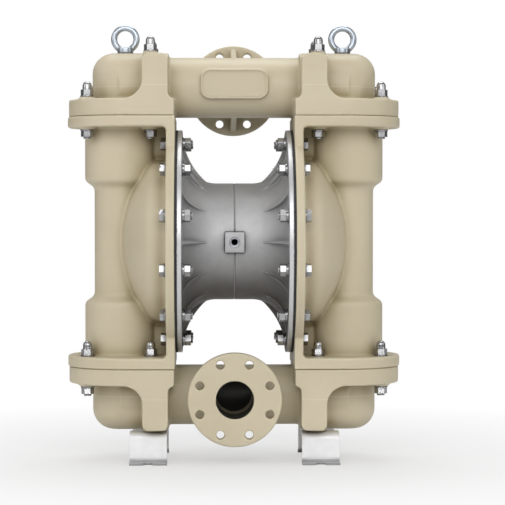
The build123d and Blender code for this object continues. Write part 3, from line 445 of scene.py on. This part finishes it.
def cast_aluminium():
    """Grey sand-cast aluminium with a bright turned rim at the clamp flange, painted shade in the
    corners and on the underside, painted highlights on the edges, and painted light in the air inlet's
    hole.
    """
    m = Nodes("cast_aluminium")
    patches = m.noise(9.0, 5.0, 0.6)
    grain = m.noise(700.0, 3.0, 0.7)
    colour = m.mix(m.remap(patches, 0.35, 0.65, 0.0, 1.0), CAST_DEEP, CAST_PALE)
    colour = m.mix(m.remap(grain, 0.35, 0.7, 0.0, 0.4), colour, CAST_GRAIN)
    # Painted shade: occlusion darkens the corners towards near black.
    corner = m.remap(m.occlusion(CAST_SHADE), 0.4, 1.0, 1.0, 0.0)
    colour = m.mix(m.math("MULTIPLY", corner, 0.8), colour, CAST_CORNER_SHADE)
    # Painted highlight: the outer edges are lightened.
    colour = m.mix(m.edges(0.52, 0.6, 0.5), colour, CAST_EDGE_HIGHLIGHT)
    x, y, z = m.place_parts()
    # Painted shade: darker towards the underside.
    under_shade = m.remap(z, UNDER_LOW, UNDER_HIGH, 0.85, 0.0)
    colour = m.mix(under_shade, colour, CAST_UNDER_SHADE)
    # Painted light: the front of the air inlet's hole is made bright.
    rise = m.math("SUBTRACT", z, SHAFT_Z)
    hole = m.math("LESS_THAN", m.squares(x, rise), INLET_HOLE * INLET_HOLE)
    front = m.math("LESS_THAN", y, 0.0)
    colour = m.mix(m.math("MULTIPLY", hole, front), colour, INLET_PAINTED_LIGHT)
    turned = m.remap(m.shaft_distance(), RIM_RADIUS - RIM_START, RIM_RADIUS - RIM_FULL, 0.0, 1.0)
    tool_marks = m.noise(40.0, 2.0, 0.5, (60, 1, 1))
    colour = m.mix(turned, colour, m.mix(tool_marks, TURNED_DEEP, TURNED_PALE))
    rough_cast = m.remap(m.noise(60.0, 4.0), 0.3, 0.7, 0.5, 0.64)
    roughness = m.math("SUBTRACT", rough_cast, m.math("MULTIPLY", turned, 0.22))
    m.bump(((patches, 0.2), (grain, 0.6)), 0.3, 0.0006)
    return m.finish(colour, roughness, 0.6)


def steel(name, low, high, rough_low, rough_high, brush=(1, 1, 30)):
    """Bright metal with fine drawn lines, a little handling dullness, and painted shade in the
    corners.
    """
    m = Nodes(name)
    smear = m.noise(30.0, 4.0)
    lines = m.noise(60.0, 3.0, 0.6, brush)
    colour = m.mix(m.remap(smear, 0.3, 0.7, 0.0, 1.0), low, high)
    # Painted shade: occlusion darkens the corners.
    corner = m.remap(m.occlusion(STEEL_SHADE), 0.3, 0.98, 1.0, 0.0)
    colour = m.mix(m.math("MULTIPLY", corner, 0.85), colour, STEEL_CORNER_SHADE)
    roughness = m.remap(smear, 0.3, 0.7, rough_low, rough_high)
    m.bump(((lines, 0.3),), 0.12, 0.0003)
    return m.finish(colour, roughness, 1.0)


def sheet_steel():
    """Pale sheet metal, darker on the lip that stands on the floor, with painted shade in the corners.
    """
    m = Nodes("sheet_steel")
    smear = m.noise(25.0, 4.0)
    colour = m.mix(m.remap(smear, 0.3, 0.7, 0.0, 1.0), SHEET_DEEP, SHEET_PALE)
    _, _, z = m.place_parts()
    lip = m.remap(z, LIP_LOW, LIP_HIGH, 0.75, 0.0)
    colour = m.mix(lip, colour, SHEET_LIP)
    # Painted shade: occlusion darkens the corners.
    corner = m.remap(m.occlusion(SHEET_SHADE), 0.3, 0.95, 0.8, 0.0)
    colour = m.mix(corner, colour, SHEET_CORNER_SHADE)
    m.bump(((m.noise(60.0, 3.0, 0.6, (30, 1, 1)), 0.3),), 0.12, 0.0003)
    return m.finish(colour, m.remap(smear, 0.3, 0.7, 0.4, 0.55), 0.35)


def rubber(name, dark, pale):
    """Moulded rubber with a fine matte skin."""
    m = Nodes(name)
    colour = m.mix(m.noise(25.0, 4.0), dark, pale)
    roughness = m.remap(m.noise(150.0, 3.0), 0.3, 0.7, 0.55, 0.75)
    m.bump(((m.noise(600.0, 2.0), 0.5),), 0.2, 0.0004)
    return m.finish(colour, roughness)


def fibre_gasket():
    """Grey fibre sheet of the joint between the two castings."""
    m = Nodes("fibre_gasket")
    colour = m.mix(m.noise(300.0, 4.0), FIBRE_DEEP, FIBRE_PALE)
    m.bump(((m.noise(900.0, 2.0), 0.5),), 0.2, 0.0003)
    return m.finish(colour, m.remap(m.noise(200.0, 2.0), 0.3, 0.7, 0.7, 0.85))


def white_plastic():
    """White moulded plastic: faint clouds and a soft sheen."""
    m = Nodes("white_plastic")
    colour = m.mix(m.noise(20.0, 3.0), WHITE_DEEP, WHITE_PALE)
    roughness = m.remap(m.noise(80.0, 3.0), 0.3, 0.7, 0.35, 0.5)
    m.bump(((m.noise(300.0, 2.0), 0.4),), 0.15, 0.0004)
    return m.finish(colour, roughness)


materials = {
    "moulded_plastic": moulded_plastic(),
    "cast_aluminium": cast_aluminium(),
    "stainless": steel("stainless", (0.36, 0.36, 0.365), (0.5, 0.5, 0.505), 0.17, 0.28),
    "zinc_plated": steel("zinc_plated", (0.4, 0.45, 0.5), (0.55, 0.59, 0.64), 0.25, 0.4),
    "sheet_steel": sheet_steel(),
    "diaphragm_rubber": rubber("diaphragm_rubber", (0.008, 0.008, 0.009), (0.03, 0.03, 0.032)),
    "gasket_rubber": rubber("gasket_rubber", (0.02, 0.02, 0.022), (0.05, 0.05, 0.05)),
    "ball_rubber": rubber("ball_rubber", (0.6, 0.6, 0.56), (0.7, 0.7, 0.66)),
    "white_plastic": white_plastic(),
}


def dress_nodes():
    """Gives each CAD node the finish of its slot."""
    for row in frame["record"]["subparts"]:
        node = nodes[row["node"]]
        node.data.materials.clear()
        node.data.materials.append(materials[row["material_slot"]])
    nodes["centre_gasket"].data.materials[0] = fibre_gasket()


def soften(name, voxel, rounds):
    """Rounds the edges and corners of a casting: fine remesh, then smoothing."""
    node = nodes[name]
    remesh = node.modifiers.new("skin", "REMESH")
    remesh.mode = "VOXEL"
    remesh.voxel_size = voxel
    remesh.use_smooth_shade = True
    smooth = node.modifiers.new("soft", "SMOOTH")
    smooth.factor = SMOOTH_FACTOR
    smooth.iterations = rounds


def rods_of(name, axis):
    """Middle, low end and high end of each round rod of a node that lies along one axis."""
    node = nodes[name]
    rods = []
    for vertex in node.data.vertices:
        point = node.matrix_world @ vertex.co
        flat = point.copy()
        flat[axis] = 0.0
        for rod in rods:
            if (rod[0] - flat).length < ROD_RADIUS * 4:
                rod[1].append(point)
                break
        else:
            rods.append((flat, [point]))
    spans = []
    for flat, points in rods:
        low = Vector([min(point[i] for point in points) for i in range(3)])
        high = Vector([max(point[i] for point in points) for i in range(3)])
        middle = (low + high) / 2
        middle[axis] = 0.0
        spans.append((middle, low[axis], high[axis]))
    return spans


def thread_ridge(corners, faces, start, along, root, crest, length):
    """Adds one helical ridge that runs from its start along a direction."""
    first = along.orthogonal().normalized()
    second = along.cross(first)
    flank = THREAD_PITCH * FLANK_SHARE
    steps = int(length / THREAD_PITCH * THREAD_STEPS)
    base = len(corners)
    for step in range(steps + 1):
        turn = step * math.tau / THREAD_STEPS
        spoke = first * math.cos(turn) + second * math.sin(turn)
        travel = step * THREAD_PITCH / THREAD_STEPS
        for radius, shift in ((root, -flank), (crest, 0.0), (root, flank)):
            corners.append(start + along * (travel + shift) + spoke * radius)
        if step:
            this = base + 3 * step
            last = this - 3
            faces.append((last, last + 1, this + 1, this))
            faces.append((last + 1, last + 2, this + 2, this + 1))
            faces.append((last + 2, last, this, this + 2))
    end = base + 3 * steps
    faces.append((base, base + 2, base + 1))
    faces.append((end, end + 1, end + 2))


def mesh_piece(name, corners, faces, slot):
    """New piece of the scene that rides with the pump's body."""
    mesh = bpy.data.meshes.new(name)
    mesh.from_pydata(corners, [], faces)
    tidy = bmesh.new()
    tidy.from_mesh(mesh)
    bmesh.ops.recalc_face_normals(tidy, faces=tidy.faces)
    tidy.to_mesh(mesh)
    tidy.free()
    mesh.materials.append(materials[slot])
    piece = bpy.data.objects.new(name, mesh)
    bpy.context.scene.collection.objects.link(piece)
    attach(piece, "pump_body")
    return piece


def ridge_piece(name, slot, ridges):
    """One mesh of thread ridges."""
    corners = []
    faces = []
    for ridge in ridges:
        thread_ridge(corners, faces, *ridge)
    mesh_piece(name, corners, faces, slot)


def add_threads():
    """Threads on the bare ends of the bolts and studs, and in the air inlet."""
    reach = ROD_BARE - THREAD_PITCH / 2
    ridges = []
    for side, sign in zip(sides, (-1, 1)):
        for middle, low, high in rods_of(f"{side}_chamber_bolts", 0):
            tip = low if sign > 0 else high
            start = middle + Vector((tip + sign * THREAD_PITCH / 2, 0, 0))
            ridges.append((start, Vector((sign, 0, 0)), ROD_RADIUS, ROD_CREST, reach))
    for duty in duties:
        for middle, low, high in rods_of(f"{duty}_studs", 2):
            start = middle + Vector((0, 0, low + THREAD_PITCH / 2))
            ridges.append((start, Vector((0, 0, 1)), ROD_RADIUS, ROD_CREST, reach))
    ridge_piece("thread_ends", "stainless", ridges)
    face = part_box("air_inlet_block")[0].y
    start = Vector((0, face + INLET_LEAD, SHAFT_Z))
    inside = (start, Vector((0, 1, 0)), INLET_RADIUS, INLET_RADIUS - INLET_RISE, INLET_DEPTH)
    ridge_piece("inlet_thread", "cast_aluminium", [inside])


def pad_rim():
    """Raised edge of the bare pad on the discharge manifold."""
    manifold = nodes["discharge_manifold"]
    points = [manifold.matrix_world @ vertex.co for vertex in manifold.data.vertices]
    front = min(
        point.y
        for point in points
        if abs(point.x) < PAD_WIDTH / 2 + MM and abs(point.z - PAD_Z) < PAD_HEIGHT / 2 + MM
    )
    corner = PAD_CORNER - PAD_RIM / 2
    reach_x = (PAD_WIDTH - PAD_RIM) / 2 - corner
    reach_z = (PAD_HEIGHT - PAD_RIM) / 2 - corner
    corners = []
    for sign_x, sign_z, first in ((1, 1, 0), (-1, 1, 1), (-1, -1, 2), (1, -1, 3)):
        for step in range(PAD_STEPS + 1):
            angle = (first + step / PAD_STEPS) * math.pi / 2
            for share in range(PAD_STEPS + 1):
                round_angle = share * math.pi / PAD_STEPS
                radius = corner + math.cos(round_angle) * PAD_RIM / 2
                x = sign_x * reach_x + math.cos(angle) * radius
                z = PAD_Z + sign_z * reach_z + math.sin(angle) * radius
                corners.append((x, front + PAD_SINK - math.sin(round_angle) * PAD_RISE, z))
    row = PAD_STEPS + 1
    rows = len(corners) // row
    faces = []
    for this in range(rows):
        after = (this + 1) % rows
        for share in range(row):
            beside = (share + 1) % row
            near = (this * row + share, after * row + share)
            faces.append((*near, after * row + beside, this * row + beside))
    mesh = mesh_piece("pad_rim", corners, faces, "moulded_plastic").data
    mesh.polygons.foreach_set("use_smooth", [True] * len(mesh.polygons))


def flexing_diaphragm(side):
    """The diaphragm cut in wedges, each from its clamped centre to its clamped rim."""
    node = nodes[f"{side}_diaphragm"]
    half = math.pi / WEDGES
    axis = Vector((0, 0, SHAFT_Z))
    for count in range(WEDGES):
        middle = math.tau * count / WEDGES
        cut = bmesh.new()
        cut.from_mesh(node.data)
        cut.transform(node.matrix_world)
        bmesh.ops.remove_doubles(cut, verts=cut.verts, dist=SEAM_GAP)
        for turn in (half, -half):
            edge = middle + turn
            normal = Vector((0, -math.sin(edge), math.cos(edge))) * math.copysign(1, turn)
            pieces = cut.verts[:] + cut.edges[:] + cut.faces[:]
            bmesh.ops.bisect_plane(cut, geom=pieces, plane_co=axis, plane_no=normal, clear_outer=True)
            rim = [line for line in cut.edges if line.is_boundary]
            bmesh.ops.holes_fill(cut, edges=rim, sides=0)
        mesh = bpy.data.meshes.new(f"{side}_diaphragm_{count + 1:02d}")
        cut.to_mesh(mesh)
        cut.free()
        mesh.materials.append(materials["diaphragm_rubber"])
        wedge = bpy.data.objects.new(mesh.name, mesh)
        bpy.context.scene.collection.objects.link(wedge)
        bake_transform(wedge)
        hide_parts(f"{side}_diaphragm")


def bevel(name, width):
    """Breaks the sharp edges of machined and bent pieces."""
    node = nodes[name]
    weld = node.modifiers.new("weld", "WELD")
    weld.merge_threshold = WELD_GAP
    edge = node.modifiers.new("edge", "BEVEL")
    edge.width = width
    edge.segments = EDGE_SEGMENTS
    edge.limit_method = "ANGLE"
    edge.angle_limit = math.radians(EDGE_ANGLE)
    edge.harden_normals = True


add_camera()
add_stage()
dress_nodes()
for duty in duties:
    soften(f"{duty}_manifold", PLASTIC_VOXEL, PLASTIC_PASSES)
    bevel(f"{duty}_acorn_nuts", HEX_EDGE)
    bevel(f"{duty}_hex_nuts", HEX_EDGE)
    bevel(f"{duty}_washers", WASHER_EDGE)
for side in sides:
    flexing_diaphragm(side)
    soften(f"{side}_fluid_chamber", PLASTIC_VOXEL, PLASTIC_PASSES)
    soften(f"{side}_air_chamber", ALUMINIUM_VOXEL, ALUMINIUM_PASSES)
    soften(f"{side}_eye_bolt", EYE_VOXEL, EYE_PASSES)
    bevel(f"{side}_chamber_bolts", HEX_EDGE)
    bevel(f"{side}_chamber_nuts", HEX_EDGE)
    bevel(f"{side}_chamber_washers", WASHER_EDGE)
    for end in ("front", "rear"):
        bevel(f"{side}_{end}_foot", SHEET_EDGE)
add_threads()
pad_rim()
bevel("air_inlet_block", BLOCK_EDGE)
bevel("exhaust_block", BLOCK_EDGE)
